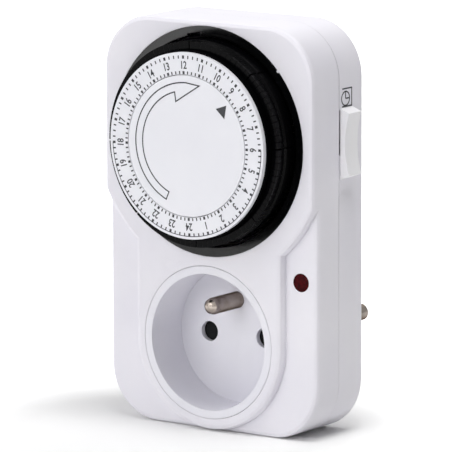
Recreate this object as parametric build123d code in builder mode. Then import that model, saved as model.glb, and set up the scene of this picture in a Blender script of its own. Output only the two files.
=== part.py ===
from build123d import *
import math
import os

os.makedirs("parts", exist_ok=True)

# A plug-in 24 hour timer switch. Millimetres, +Z up. X runs to the right as seen
# from the front. The origin is on the axis of the plug and the socket, in the wall
# plane (the back face). "Depth" is the distance in front of that plane, along -Y,
# so what lies in the plug has a negative depth.

# ------------------------------------------------------------------ housing sizes
bezel_radius = 32.4  # of the black ring round the dial, which the housing is built about
side_margin = 3.1  # from the bezel to the sides of the body
top_margin = 1.45  # from the bezel to the top of the body
face_bridge = 2.8  # of the face between the bezel and the socket
boss_rim = 3.25  # of the raised face round the socket
shoulder_rim = 6.6  # of the raised face round the dial
foot_margin = 0.4  # from the raised face to the foot of the body
corner_radius = 15.5
seam_depth = 11.5  # joint between the two covers
low_face_depth = 22.0  # recessed lower part of the front
face_step = 2.5  # from the low to the raised part of the front
wall = 2.2
back_wall = 2.5
back_chamfer = 0.3
step_round = 1.25  # round of both faces' edges, in two flats
lower_flat_taper = 22.5  # degrees from the depth direction
upper_flat_taper = 67.5
fit = 0.1  # play between parts that don't move on each other
lip_width = 1.1  # of the four tongues on the front cover
lip_length = 2.0
lip_side_margin = 2.8  # from the corner's round and from the knob's slot
lip_end_margin = 2.0

# ---------------------------------------------------------------- socket and plug
pin_spacing = 19.0
pin_radius = 2.4
shank_side = 3.2  # square part of a pin, where it is held in the moulding
contact_hole_radius = 2.85
earth_offset = 10.0  # earth pin above the socket axis
earth_pin_length = 14.0  # in front of the well floor
earth_pin_tail = 1.0  # behind the floor, under the strap
earth_tip_round = 2.3
well_radius = 19.4
well_wall = 2.25
well_floor_depth = 10.3
well_floor_thickness = 1.6
lug_width = 4.0
lug_height = 0.85
lug_thickness = 1.6
well_post_side = 3.0
well_post_inset = 1.3  # of the posts' middle from the edge of the floor
rail_width = 1.6
rail_top = 5.0
rail_margin = 0.9  # from the foot of the rails to the posts
plug_radius = 18.5
plug_length = 20.5
plug_chamfer = 0.9
cavity_width = 30.0  # of the pocket for the socket contacts
cavity_height = 8.6
earth_cavity_width = 8.0
earth_cavity_reach = 14.6
plug_face_thickness = 2.5
plug_pin_length = 19.0
plug_pin_tail = 3.5  # inside the plug, in front of its face wall
plug_tip_round = 1.2
guide_notch_width = 5.6
guide_notch_depth = 1.9
side_contact_width = 5.6
side_channel_depth = 0.8
side_contact_thickness = 0.6
side_contact_margin = 1.0  # from its end to the plug's face
side_contact_leg = -6.0  # depth of the leg that goes in to the earth strap
earth_clip_gap = 1.0  # from the clip to the plug's face wall
earth_hole_radius = 2.5

# --------------------------------------------------------------------------- dial
bezel_ring_width = 2.55
bezel_thickness = 3.0
bezel_slope = 0.35  # fall of the ring's front towards the dial
bezel_lug_height = 1.3
bezel_lug_width = 5.0
bezel_lug_thickness = 1.5
bezel_lug_angle = 60.0  # of the first of four
index_angle = 42.0  # where the dial is read and the switch is tripped
key_width = 0.7
key_height = 0.5
window_angle = 98.5
window_width = 4.8
window_height = 0.6
dial_height = 9.9  # of the dial's front before the raised face
number_ring_rim = 0.5  # the drum shows this far outside the ring
number_ring_width = 6.15
dial_plate_thickness = 1.3  # of the number ring
disc_gap = 0.2  # round the centre disc
disc_thickness = 1.1
drum_web_thickness = 1.5
drum_rim = 2.6  # from the gear's pitch circle to the outside
drum_ring_gap = 0.23  # from the ring's corners to the bezel
drum_ring_thickness = 0.45  # of the ring of flats round the tappets
drum_flange_depth = 3.8  # of its back behind the raised face
drum_flange_thickness = 1.5
drum_hub_radius = 6.5
drum_bars = 8  # that join the ring of flats to the drum
drum_bar_width = 0.24
bar_room = 0.6  # degrees between the tappets on either side of a bar
bar_overlap = 0.3
spindle_radius = 3.5
spindle_fit = 0.06
dial_turn = 2.2  # how far the dial is turned anticlockwise at rest

# ------------------------------------------------------------------------ tappets
hours = 24
tappets_per_hour = 4
tappet_gap = 0.08  # between neighbours
tappet_thickness = 2.1  # along the dial's radius
tappet_set_back = 3.1  # of its front behind the dial's front
tappet_tail = 1.3  # behind the drum
tappet_ring_gap = 0.12  # to the ring of flats
tappet_drum_gap = 0.1
groove_front = 2.9  # from the front of the tappet
groove_width = 1.1
groove_height = 0.6

# -------------------------------------------------------------------- gears, motor
dial_gear_teeth = 32
pinion_teeth = 8
tooth_reach = 0.85  # beyond the pitch circle, in modules
tooth_root = 1.15  # inside the pitch circle, in modules
tooth_half_root = 0.35  # half width at the root, as a share of the pitch
tooth_half_tip = 0.11
gear_backlash = 0.04  # share of the pitch
pinion_angle = 235.0  # of the pinion's axis about the dial axis
pinion_set_in = 0.8  # of its back in front of the drum's back
pinion_length = 6.0
pinion_shaft_radius = 1.5
shaft_fit = 0.06
plate_hole_clearance = 0.5  # round the shaft
plate_back = 13.0
plate_thickness = 1.6
motor_height = 36.0
motor_drop = 3.1  # centre of the motor below the dial axis
motor_chamfer = 4.0
motor_gap = 1.5  # from its clamp to the switch
plate_margin = 1.0
motor_shaft_depth = 3.0
clamp_width = 8.0
clamp_thickness = 1.6
clamp_height = 5.0

# --------------------------------------------------------------- switch and lever
switch_inset = 16.4  # from the side of the body
switch_drop = 10.35  # of its foot below the dial axis
switch_width = 5.8
switch_length = 10.0
switch_height = 5.9
plunger_side = 2.4
plunger_rise = 5.0  # above the foot of the switch
plunger_gap = 0.15  # to the lever
plunger_depth = 2.0  # inside the switch
plunger_travel = 1.1
plunger_fit = 0.08
lever_offset = 1.5  # of its left side from that of the switch
lever_width = 3.6
lever_back = 10.3
lever_thickness = 2.4
lever_drop = 20.1  # of its pivot below the dial axis
lever_pivot_depth = 12.0
lever_foot = 2.2  # below the pivot
lever_pin_radius = 1.0
pin_fit = 0.05
ear_thickness = 1.6
ear_gap = 0.4
ear_half_height = 2.2
ear_rim = 0.6  # beyond the pivot
nose_width = 2.8
nose_length = 1.9
nose_gap = 0.3  # between the nose and the tappets that are out

# ---------------------------------------------------------------------- mode knob
knob_length = 19.8
knob_drop = 9.15  # of its foot below the dial axis
knob_back_depth = 5.1
knob_seam_gap = 0.4  # from its front to the seam
knob_height = 3.1
knob_dish = 1.3
knob_taper = 1.2
knob_gap = 0.1
knob_neck_length = 7.5
knob_neck_drop = 0.8  # of the neck below the knob's top
knob_neck_back = 5.8
knob_neck_front = 9.8
knob_flange_thickness = 1.4
knob_flange_margin = 1.6
knob_travel = 4.6
knob_finger_top = 5.8  # above the foot of the neck
knob_finger_height = 2.0
knob_finger_back = 9.4
knob_finger_thickness = 1.8
knob_finger_gap = 0.7  # to the trip lever
slot_margin = 0.2

# ------------------------------------------------------------------ lamp, shutter
lamp_inset = 5.5  # from the side of the body
lamp_z = 19.7
lamp_radius = 2.6
lamp_lens_thickness = 2.7
neon_radius = 1.9
neon_length = 10.0
neon_gap = 0.8
shutter_margin = 1.15  # past the contact holes
shutter_height = 8.0
shutter_top = 3.6
shutter_thickness = 1.3
shutter_gap = 0.1
spring_length = 12.4
spring_width = 5.0
spring_wire = 0.5
spring_turns = 4
spring_stop_width = 6.0
spring_stop_thickness = 1.6
holder_thickness = 1.3
holder_margin = 2.5  # past the plug's pocket
holder_foot_gap = 0.3  # to the posts under the well
holder_top = 7.0
holder_window = 6.4
holder_rest_side = 2.0
holder_rest_spacing = 11.0

# ----------------------------------------------------------------- contact strips
strip = 0.7  # thickness
strip_back = 5.1
strip_width = 3.4
clip_width = 6.0
clip_bottom = -9.0
clip_throat = 2.75
clip_mouth = 3.4
clip_wing = 6.0
feed_width = 5.0  # of the strip that leaves the plug's live pin
feed_wall_gap = 0.7  # from its middle to the pocket's side
feed_turn_gap = 2.0  # of its turn from the holder
feed_lower_bend = (5.4, 12.0)  # left of the lamp, and above the plug axis
feed_upper_bend = (4.6, 28.0)
feed_side_gap = 6.5  # from the side of the body
feed_outer_drop = 3.75  # of the upper bends below the lever's pivot
feed_end_rise = 3.5  # above the foot of the switch
live_strip_rise = 21.0  # bends of the strip from the switch to the clip
live_strip_bend = (6.0, 27.5)  # left of the switch's middle, and above the plug axis
live_strip_drop = 4.25  # of the last bend below the lever's pivot

# ------------------------------------------------------------- worked out: housing
well_outer_radius = well_radius + well_wall
boss_radius = well_outer_radius + boss_rim
shoulder_radius = bezel_radius + shoulder_rim
plug_axis_height = boss_radius + foot_margin
dial_z = bezel_radius + face_bridge + well_outer_radius
body_width = 2 * (bezel_radius + side_margin)
body_height = plug_axis_height + dial_z + bezel_radius + top_margin
high_face_depth = low_face_depth + face_step
foot_z = -plug_axis_height
top_z = body_height - plug_axis_height
mid_z = body_height / 2 - plug_axis_height
side_x = body_width / 2
inner_low = low_face_depth - wall
inner_high = high_face_depth - wall
step_middle = step_round * (1 - math.cos(math.radians(45)))

# ---------------------------------------------------- worked out: knob and tongues
knob_width = seam_depth - knob_seam_gap - knob_back_depth
knob_bottom = dial_z - knob_drop
knob_top = knob_bottom + knob_length
knob_neck_top = knob_top - knob_neck_drop
slot_bottom = knob_neck_top - knob_neck_length - knob_travel - slot_margin
slot_top = knob_neck_top + slot_margin
lip_side_low = foot_z + corner_radius + lip_side_margin
lip_side_high = slot_bottom - lip_side_margin
lip_end_run = body_width - 2 * (corner_radius + lip_end_margin)

# ----------------------------------------------------- worked out: socket and plug
pin_x = pin_spacing / 2
floor_back = well_floor_depth - well_floor_thickness
well_post_place = (well_outer_radius - well_post_inset) / math.sqrt(2)
well_post_edge = well_post_place - well_post_side / 2
rail_bottom = rail_margin - well_post_edge
holder_bottom = holder_foot_gap - well_post_edge
holder_width = cavity_width + 2 * holder_margin
shutter_length = 2 * (pin_x + contact_hole_radius + shutter_margin)
plug_end = -plug_length
side_contact_end = plug_end + side_contact_margin
pin_inner_end = plug_end + plug_face_thickness + plug_pin_tail
earth_clip_end = plug_end + plug_face_thickness + earth_clip_gap
strip_front = strip_back + strip
holder_back = strip_front
holder_front = holder_back + holder_thickness
shutter_back = holder_front + shutter_gap

# ---------------------------------------------------------------- worked out: dial
bezel_bore_radius = bezel_radius - bezel_ring_width
hour_angle = 360 / hours
half_hour = math.radians(hour_angle / 2)
drum_ring_flat = (bezel_bore_radius - drum_ring_gap) * math.cos(half_hour)
ring_inner_flat = drum_ring_flat - drum_ring_thickness
tappet_outer_radius = ring_inner_flat - tappet_ring_gap
tappet_inner_radius = tappet_outer_radius - tappet_thickness
tappet_pitch = (360 - drum_bars * bar_room) / (hours * tappets_per_hour)
tappet_inner_width = tappet_inner_radius * math.radians(tappet_pitch) - tappet_gap
tappet_outer_width = tappet_outer_radius * math.radians(tappet_pitch) - tappet_gap
drum_radius = tappet_inner_radius - tappet_drum_gap
number_ring_radius = drum_radius - number_ring_rim
number_ring_bore = number_ring_radius - number_ring_width
disc_radius = number_ring_bore - disc_gap
dial_front_depth = high_face_depth + dial_height
drum_front = dial_front_depth - dial_plate_thickness
drum_flange_back = high_face_depth - drum_flange_depth
tappet_front_depth = dial_front_depth - tappet_set_back
tappet_back_depth = drum_flange_back - tappet_tail

# ------------------------------------------- worked out: movement, switch and lamp
gear_radius = drum_radius - drum_rim
gear_module = 2 * gear_radius / dial_gear_teeth
pinion_radius = gear_module * pinion_teeth / 2
pinion_distance = gear_radius - pinion_radius
pinion_x = pinion_distance * math.cos(math.radians(pinion_angle))
pinion_z = dial_z + pinion_distance * math.sin(math.radians(pinion_angle))
pinion_back = drum_flange_back + pinion_set_in
plate_front = plate_back + plate_thickness
switch_left_x = side_x - switch_inset
switch_mid_x = switch_left_x + switch_width / 2
switch_bottom = dial_z - switch_drop
plunger_z = switch_bottom + plunger_rise
motor_width = 2 * (switch_left_x - clamp_thickness - motor_gap)
motor_z = dial_z - motor_drop
lever_left_x = switch_left_x + lever_offset
lever_right_x = lever_left_x + lever_width
lever_pivot_z = dial_z - lever_drop
lamp_x = side_x - lamp_inset
live_leg_x = cavity_width / 2 - feed_wall_gap
feed_turn_x = holder_width / 2 + feed_turn_gap
feed_outer_x = side_x - feed_side_gap
feed_outer_z = lever_pivot_z - feed_outer_drop
feed_end_z = switch_bottom + feed_end_rise
live_strip_top_z = lever_pivot_z - live_strip_drop


# ------------------------------------------------------------- shared drawing aids
def at(depth):
    """Sketch plane parallel to the wall: local x is X, local y is Z."""
    return Plane.XZ.offset(depth)


def on_axis(x, z, depth=0.0):
    """Plane parallel to the wall with its origin on the axis at x, z."""
    return Plane(origin=(x, -depth, z), x_dir=(1, 0, 0), z_dir=(0, -1, 0))


def section(x, z):
    """Section plane through the axis at x, z: local x is radius, local y is depth."""
    return Plane(origin=(x, 0, z), x_dir=(1, 0, 0), z_dir=(0, 0, -1))


def turning_axis(x, z):
    """Axis square to the wall through x, z."""
    return Axis((x, 0, z), (0, -1, 0))


def side_section(x):
    """Plane square to X at x: local x is depth, local y is Z."""
    return Plane(origin=(x, 0, 0), x_dir=(0, -1, 0), z_dir=(-1, 0, 0))


def band(inner, outer, back, front, mode=Mode.ADD):
    """Rectangle of a section sketch, from inner to outer radius and back to front."""
    with Locations(((inner + outer) / 2, (back + front) / 2)):
        Rectangle(outer - inner, front - back, mode=mode)


def block(x_low, x_high, z_low, z_high, mode=Mode.ADD):
    """Rectangle of a wall-parallel sketch between two corners."""
    with Locations(((x_low + x_high) / 2, (z_low + z_high) / 2)):
        Rectangle(x_high - x_low, z_high - z_low, mode=mode)


def body_outline(inset=0.0, mode=Mode.ADD):
    """The rounded rectangle of the housing, taken in by inset."""
    with Locations((0, mid_z)):
        RectangleRounded(
            body_width - 2 * inset,
            body_height - 2 * inset,
            corner_radius - inset,
            mode=mode,
        )


def raised_outline(inset=0.0):
    """The raised face: full width above, arcs round the dial, a boss round the socket."""
    Circle(boss_radius - inset)
    block(inset - boss_radius, boss_radius - inset, 0, dial_z)
    with Locations((0, dial_z)):
        Circle(shoulder_radius - inset)
    block(-side_x, side_x, dial_z, top_z)
    body_outline(inset, mode=Mode.INTERSECT)


def tongues(play=0.0):
    """The four straight tongues of the front cover, or with play their grooves."""
    middle = wall - lip_width / 2
    side_run = lip_side_high - lip_side_low
    with Locations((0, (lip_side_low + lip_side_high) / 2)):
        with Locations((middle - side_x, 0), (side_x - middle, 0)):
            Rectangle(lip_width + 2 * play, side_run + 2 * play)
    with Locations((0, foot_z + middle), (0, top_z - middle)):
        Rectangle(lip_end_run + 2 * play, lip_width + 2 * play)


def gear_outline(teeth, turn=0.0, inside=False):
    """Straight-flanked gear with a tooth at turn, or the opening of an inside gear
    with a gap at turn, both with enough backlash to run freely."""
    pitch_radius = gear_module * teeth / 2
    half_root, half_tip, rise, fall = (
        tooth_half_root,
        tooth_half_tip,
        tooth_reach,
        tooth_root,
    )
    if inside:
        half_root, half_tip = half_root + gear_backlash, half_tip + gear_backlash
        rise, fall = tooth_root, tooth_reach
    corners = (
        (pitch_radius - fall * gear_module, -half_root),
        (pitch_radius + rise * gear_module, -half_tip),
        (pitch_radius + rise * gear_module, half_tip),
        (pitch_radius - fall * gear_module, half_root),
    )
    points = []
    for tooth in range(teeth):
        for radius, share in corners:
            angle = math.radians(turn + (tooth + share) * 360 / teeth)
            points.append((radius * math.cos(angle), radius * math.sin(angle)))
    with BuildLine() as teeth_line:
        Polyline(*points, close=True)
    make_face(teeth_line.edges())


# -------------------------------------------------------------------- front cover
# One moulding: side walls from the seam forward, a recessed lower face and a raised
# face, each with its edge rounded in two flats, opened for the dial, the socket and
# the lamp. Four tongues on its back edge reach into the rear cover.
with BuildPart() as front_cover:
    with BuildSketch(at(seam_depth)):
        body_outline()
    extrude(amount=low_face_depth - step_round - seam_depth)
    with BuildSketch(at(low_face_depth - step_round)):
        raised_outline()
    extrude(amount=face_step)
    for outline, face_depth in (
        (body_outline, low_face_depth),
        (raised_outline, high_face_depth),
    ):
        with BuildSketch(at(face_depth - step_round)):
            outline()
        extrude(amount=step_round - step_middle, taper=lower_flat_taper)
        with BuildSketch(at(face_depth - step_middle)):
            outline(step_middle)
        extrude(amount=step_middle, taper=upper_flat_taper)
    with BuildSketch(at(seam_depth)):
        body_outline(wall)
    extrude(amount=inner_low - seam_depth, mode=Mode.SUBTRACT)
    with BuildSketch(at(inner_low)):
        raised_outline(wall)
    extrude(amount=inner_high - inner_low, mode=Mode.SUBTRACT)
    with BuildSketch(at(seam_depth)):
        tongues()
    extrude(amount=-lip_length)
    with BuildSketch(on_axis(0, dial_z, high_face_depth - bezel_thickness - fit)):
        Circle(bezel_radius)
    extrude(amount=bezel_thickness + fit, mode=Mode.SUBTRACT)
    with BuildSketch(at(seam_depth)):
        Circle(well_outer_radius + fit)
        with Locations((lamp_x, lamp_z)):
            Circle(lamp_radius)
    extrude(amount=high_face_depth, mode=Mode.SUBTRACT)
    with BuildSketch(on_axis(0, dial_z, inner_high)):
        with PolarLocations(bezel_radius - key_height / 2 + fit, 1, index_angle):
            Rectangle(key_height + 2 * fit, key_width)
    extrude(amount=wall)

front_cover.part.label = "front_cover"
export_step(front_cover.part, "parts/front_cover.step")


# --------------------------------------------------------------------- rear cover
# One moulding with the plug's boss. Inside it carries ribs that the socket, the
# contact holder, the motor, the switch, the lever and the neon lamp stand on.
motor_clamps = [
    (-motor_width / 2 - clamp_thickness / 2, motor_z, clamp_thickness, clamp_width),
    (motor_width / 2 + clamp_thickness / 2, motor_z, clamp_thickness, clamp_width),
    (0, motor_z - motor_height / 2 - clamp_thickness / 2, clamp_width, clamp_thickness),
    (0, motor_z + motor_height / 2 + clamp_thickness / 2, clamp_width, clamp_thickness),
]
ear_places = [
    lever_left_x - ear_gap - ear_thickness,
    lever_right_x + ear_gap,
]
lever_axle_length = lever_width + 2 * (ear_gap + ear_thickness)
neon_back = low_face_depth - lamp_lens_thickness - neon_gap - neon_length
spring_stop_z = shutter_top - shutter_height - spring_length
with BuildPart() as rear_cover:
    with BuildSketch(at(0)):
        body_outline()
    extrude(amount=seam_depth)
    chamfer(rear_cover.faces().sort_by(Axis.Y)[-1].edges(), back_chamfer)
    with BuildSketch(at(back_wall)):
        body_outline(wall)
    extrude(amount=seam_depth - back_wall, mode=Mode.SUBTRACT)
    with BuildSketch(at(seam_depth)):
        tongues(fit)
    extrude(amount=-lip_length - fit, mode=Mode.SUBTRACT)
    with BuildSketch(section(0, 0)):
        band(0, plug_radius, plug_end, back_wall)
    revolve(axis=turning_axis(0, 0))
    chamfer(rear_cover.faces().sort_by(Axis.Y)[-1].edges(), plug_chamfer)
    with BuildSketch(at(plug_end + plug_face_thickness)):
        Rectangle(cavity_width, cavity_height)
        Rectangle(earth_cavity_width, 2 * earth_cavity_reach)
    extrude(amount=back_wall + plug_length, mode=Mode.SUBTRACT)
    with BuildSketch(at(plug_end)):
        with Locations((-plug_radius, 0), (plug_radius, 0)):
            Rectangle(2 * guide_notch_depth, guide_notch_width)
        with Locations((0, -plug_radius), (0, plug_radius)):
            Rectangle(side_contact_width, 2 * side_channel_depth)
    extrude(amount=plug_length, mode=Mode.SUBTRACT)
    with BuildSketch(at(plug_end)):
        with Locations((-pin_x, 0), (pin_x, 0)):
            Rectangle(shank_side, shank_side)
        with Locations((0, earth_offset)):
            Circle(earth_hole_radius)
    extrude(amount=plug_face_thickness, mode=Mode.SUBTRACT)
    with BuildSketch(at(side_contact_leg)):
        Rectangle(side_contact_width, 2 * plug_radius)
    extrude(amount=side_contact_thickness, mode=Mode.SUBTRACT)
    with BuildSketch(side_section(side_x)):
        with Locations(((knob_neck_back - slot_margin + seam_depth) / 2, 0)):
            with Locations((0, (slot_bottom + slot_top) / 2)):
                Rectangle(
                    seam_depth - knob_neck_back + slot_margin, slot_top - slot_bottom
                )
    extrude(amount=wall, mode=Mode.SUBTRACT)
    with BuildSketch(at(back_wall)):
        for place_x, place_z, size_x, size_z in motor_clamps:
            with Locations((place_x, place_z)):
                Rectangle(size_x, size_z)
    extrude(amount=clamp_height)
    with BuildSketch(at(back_wall)):
        with GridLocations(2 * well_post_place, 2 * well_post_place, 2, 2):
            Rectangle(well_post_side, well_post_side)
        with Locations((0, spring_stop_z - spring_stop_thickness / 2)):
            Rectangle(spring_stop_width, spring_stop_thickness)
    extrude(amount=floor_back - back_wall)
    with BuildSketch(at(back_wall)):
        with GridLocations(holder_width - holder_rest_side, holder_rest_spacing, 2, 2):
            Rectangle(holder_rest_side, holder_rest_side)
    extrude(amount=holder_back - back_wall)
    with BuildSketch(at(back_wall)):
        for ear_left in ear_places:
            with Locations((ear_left + ear_thickness / 2, lever_pivot_z)):
                Rectangle(ear_thickness, 2 * ear_half_height)
    extrude(amount=lever_pivot_depth + ear_rim - back_wall)
    with BuildSketch(at(lever_pivot_depth - lever_pin_radius - pin_fit)):
        with Locations(((lever_left_x + lever_right_x) / 2, lever_pivot_z)):
            Rectangle(lever_axle_length, 2 * (lever_pin_radius + pin_fit))
    extrude(amount=lever_pin_radius + pin_fit + ear_rim, mode=Mode.SUBTRACT)
    with BuildSketch(at(back_wall)):
        with Locations((lamp_x, lamp_z)):
            Rectangle(2 * neon_radius, 2 * neon_radius)
    extrude(amount=neon_back - back_wall)

rear_cover.part.label = "rear_cover"
export_step(rear_cover.part, "parts/rear_cover.step")


# ------------------------------------------------------------------- socket well
# White cup seen in the front: wall and floor in one, with the contact holes. Lugs
# hold it behind the front cover, rails under the floor guide the shutter.
with BuildPart() as socket_well:
    with BuildSketch(section(0, 0)):
        band(0, well_outer_radius, floor_back, high_face_depth)
        band(0, well_radius, well_floor_depth, high_face_depth, mode=Mode.SUBTRACT)
    revolve(axis=turning_axis(0, 0))
    with BuildSketch(at(inner_high - lug_thickness)):
        with PolarLocations(well_outer_radius, 4, 45):
            Rectangle(2 * lug_height, lug_width)
    extrude(amount=lug_thickness)
    with BuildSketch(at(shutter_back)):
        for rail_x in (-shutter_length / 2, shutter_length / 2):
            with Locations((rail_x + math.copysign(rail_width / 2 + fit, rail_x), 0)):
                with Locations((0, (rail_top + rail_bottom) / 2)):
                    Rectangle(rail_width, rail_top - rail_bottom)
    extrude(amount=floor_back - shutter_back)
    with BuildSketch(at(floor_back)):
        with Locations((-pin_x, 0), (pin_x, 0)):
            Circle(contact_hole_radius)
        with Locations((0, earth_offset)):
            Rectangle(shank_side, shank_side)
    extrude(amount=well_floor_thickness, mode=Mode.SUBTRACT)

socket_well.part.label = "socket_well"
export_step(socket_well.part, "parts/socket_well.step")


# ------------------------------------------------------------------ contact pins
def pin_profile(radius, end, tip, tip_round, rings):
    """Half section of a round pin from its flat end to its tip, rounded in rings."""
    way = math.copysign(1, tip - end)
    points = [(0, end), (radius, end)]
    for ring in range(rings + 1):
        angle = math.radians(90 * ring / rings)
        across = radius - tip_round + tip_round * math.cos(angle)
        along = tip - way * tip_round * (1 - math.sin(angle))
        points.append((across, along))
    points.append((0, tip))
    with BuildLine() as half_section:
        Polyline(*points, close=True)
    make_face(half_section.edges())


# Earth pin of the socket: round in front of the floor, with a square shank that goes
# through it to the earth strap and can't turn.
pin_foot_depth = floor_back - earth_pin_tail
with BuildPart() as earth_pin:
    with BuildSketch(section(0, earth_offset)):
        pin_profile(
            pin_radius,
            well_floor_depth,
            well_floor_depth + earth_pin_length,
            earth_tip_round,
            3,
        )
    revolve(axis=turning_axis(0, earth_offset))
    with BuildSketch(on_axis(0, earth_offset, pin_foot_depth)):
        Rectangle(shank_side, shank_side)
    extrude(amount=well_floor_depth - pin_foot_depth)

earth_pin.part.label = "earth_pin"
export_step(earth_pin.part, "parts/earth_pin.step")

# The two pins of the plug. A square shank is pressed through its face wall.
with BuildPart() as plug_pins:
    for place_x in (-pin_x, pin_x):
        with BuildSketch(section(place_x, 0)):
            pin_profile(
                pin_radius, plug_end, plug_end - plug_pin_length, plug_tip_round, 1
            )
        revolve(axis=turning_axis(place_x, 0))
        with BuildSketch(on_axis(place_x, 0, plug_end)):
            Rectangle(shank_side, shank_side)
        extrude(amount=pin_inner_end - plug_end)

plug_pins.part.label = "plug_pins"
export_step(plug_pins.part, "parts/plug_pins.step")

# Earth strips on the top and foot of the plug, each with a leg through its wall.
side_contact_top = plug_radius - side_channel_depth + side_contact_thickness
strap_top = earth_offset + pin_radius
strap_foot = -strap_top
side_leg_ends = (strap_top, strap_foot)
with BuildPart() as plug_side_contacts:
    with BuildSketch(side_section(side_contact_width / 2)):
        for leg_end in side_leg_ends:
            side = math.copysign(1, leg_end)
            outer = side * side_contact_top
            inner = side * (plug_radius - side_channel_depth)
            leg_front = side_contact_leg + side_contact_thickness
            with BuildLine():
                Polyline(
                    (side_contact_end, outer),
                    (leg_front, outer),
                    (leg_front, leg_end),
                    (side_contact_leg, leg_end),
                    (side_contact_leg, inner),
                    (side_contact_end, inner),
                    close=True,
                )
            make_face()
    extrude(amount=side_contact_width)

plug_side_contacts.part.label = "plug_side_contacts"
export_step(plug_side_contacts.part, "parts/plug_side_contacts.step")

# Bar that joins the socket's earth pin, the two earth strips and a spring clip that
# grips the earth pin of a wall socket behind the plug's earth hole.
strap_width = 4.0
strap_back = side_contact_leg
with BuildPart() as earth_strap:
    with BuildSketch(side_section(strap_width / 2)):
        with BuildLine():
            Polyline(
                (strap_back, strap_foot),
                (strap_back, strap_top),
                (strap_back + strip, strap_top),
                (strap_back + strip, earth_offset + strip / 2),
                (pin_foot_depth - strip, earth_offset + strip / 2),
                (pin_foot_depth - strip, strap_top),
                (pin_foot_depth, strap_top),
                (pin_foot_depth, earth_offset - pin_radius),
                (pin_foot_depth - strip, earth_offset - pin_radius),
                (pin_foot_depth - strip, earth_offset - strip / 2),
                (strap_back + strip, earth_offset - strip / 2),
                (strap_back + strip, strap_foot),
                close=True,
            )
        make_face()
    extrude(amount=strap_width)
    with BuildSketch(section(0, earth_offset)):
        for arm in (-1, 1):
            with BuildLine() as clip_arm:
                Polyline(
                    (0, strap_back + strip / 2),
                    (arm * (pin_radius + strip / 2), strap_back + strip / 2),
                    (arm * pin_radius, (strap_back + earth_clip_end) / 2),
                    (arm * (pin_radius + strip), earth_clip_end),
                )
            trace(lines=clip_arm.edges(), line_width=strip)
    extrude(amount=strap_width / 2, both=True)

earth_strap.part.label = "earth_strap"
export_step(earth_strap.part, "parts/earth_strap.step")


# ---------------------------------------------------------------- socket contacts
# Insulating plate over the plug's cavity. The spring clips hang from its back.
with BuildPart() as contact_holder:
    with BuildSketch(at(holder_back)):
        block(-holder_width / 2, holder_width / 2, holder_bottom, holder_top)
        with Locations((-pin_x, 0), (pin_x, 0)):
            Rectangle(holder_window, holder_window, mode=Mode.SUBTRACT)
    extrude(amount=holder_thickness)

contact_holder.part.label = "contact_holder"
export_step(contact_holder.part, "parts/contact_holder.step")


def clip(x):
    """A bent spring clip that grips a pin of 4.8 on the axis at x."""
    wing_depth = strip_back + strip / 2
    with BuildSketch(side_section(x + clip_width / 2)) as bent_strip:
        with BuildLine() as bent:
            Polyline(
                (wing_depth, -clip_wing),
                (wing_depth, -clip_mouth),
                (0, -clip_throat),
                (clip_bottom, -clip_mouth),
                (clip_bottom, clip_mouth),
                (0, clip_throat),
                (wing_depth, clip_mouth),
                (wing_depth, clip_wing),
            )
        trace(lines=bent.edges(), line_width=strip)
    extrude(bent_strip.sketch, amount=clip_width)


def flat_strip(*points):
    """A flat strip over the floor of the rear cover, along points in X and Z."""
    with BuildSketch(at(strip_back)) as laid_strip:
        with BuildLine() as route:
            Polyline(*points)
        trace(lines=route.edges(), line_width=strip_width)
    extrude(laid_strip.sketch, amount=strip)


# Clip of the live side with the strip that comes from the switch.
with BuildPart() as live_contact:
    clip(pin_x)
    flat_strip(
        (pin_x, clip_mouth + strip_width / 2),
        (pin_x, live_strip_rise),
        (switch_mid_x - live_strip_bend[0], live_strip_bend[1]),
        (switch_mid_x, live_strip_top_z),
        (switch_mid_x, switch_bottom),
    )

live_contact.part.label = "live_contact"
export_step(live_contact.part, "parts/live_contact.step")

# Clip of the neutral side with the tail that stands on the plug's pin.
with BuildPart() as neutral_contact:
    clip(-pin_x)
    with BuildSketch(side_section(clip_width / 2 - pin_x)):
        with Locations(((pin_inner_end + clip_bottom) / 2, 0)):
            Rectangle(clip_bottom - pin_inner_end, strip)
    extrude(amount=clip_width)

neutral_contact.part.label = "neutral_contact"
export_step(neutral_contact.part, "parts/neutral_contact.step")

# Strip from the live pin of the plug to the side of the switch.
with BuildPart() as live_feed:
    with BuildSketch(section(0, 0)):
        with BuildLine() as bent_feed:
            Polyline(
                (pin_x - pin_radius, pin_inner_end + strip / 2),
                (live_leg_x, pin_inner_end + strip / 2),
                (live_leg_x, strip_back + strip / 2),
                (feed_turn_x, strip_back + strip / 2),
            )
        trace(lines=bent_feed.edges(), line_width=strip)
    extrude(amount=feed_width / 2, both=True)
    flat_strip(
        (live_leg_x + strip_width, 0),
        (feed_turn_x, 0),
        (lamp_x - feed_lower_bend[0], feed_lower_bend[1]),
        (lamp_x - feed_upper_bend[0], feed_upper_bend[1]),
        (feed_outer_x, feed_outer_z),
        (feed_outer_x, feed_end_z),
        (switch_left_x + switch_width, feed_end_z),
    )

live_feed.part.label = "live_feed"
export_step(live_feed.part, "parts/live_feed.step")


# ------------------------------------------------------------------------ shutter
# Plate behind the floor that covers the contact holes. It slides down to open.
shutter_bottom = shutter_top - shutter_height
with BuildPart() as shutter:
    with BuildSketch(at(shutter_back)):
        block(-shutter_length / 2, shutter_length / 2, shutter_bottom, shutter_top)
    extrude(amount=shutter_thickness)

shutter.part.label = "shutter"
export_step(shutter.part, "parts/shutter.step")

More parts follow.
